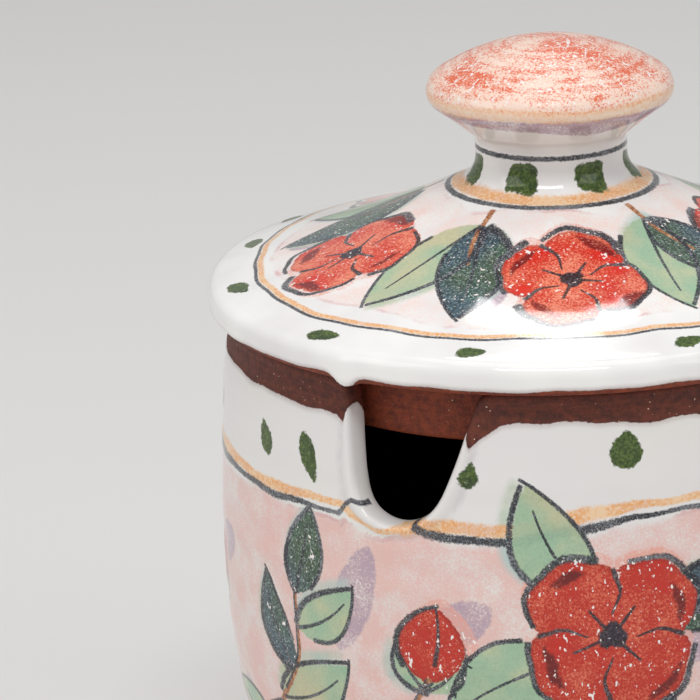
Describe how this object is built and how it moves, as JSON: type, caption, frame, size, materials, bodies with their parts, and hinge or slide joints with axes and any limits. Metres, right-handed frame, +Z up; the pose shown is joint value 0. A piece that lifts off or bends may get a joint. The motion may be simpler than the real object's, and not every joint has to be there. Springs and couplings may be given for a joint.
{
  "type": "lidded honey pot",
  "caption": "Hand-thrown glazed earthenware honey pot with a resting lid, a mushroom knob and a notch in the rim for the handle of a dipper.",
  "frame": {"origin": "centre of the foot, at the bottom of the object's box", "axes": "+Z up through the knob of the lid; the notch in the rim faces -Y"},
  "size_m": [0.11, 0.11, 0.1375],
  "materials": {
    "pot_glaze": "glossy tin glaze with brush painting, bare red clay at the rim and the foot",
    "lid_glaze": "glossy tin glaze with brush painting, bare red clay under the edge and on the flange"
  },
  "bodies": {
    "root": {"pot": "pot_glaze", "lid": "lid_glaze"}
  },
  "joints": []
}
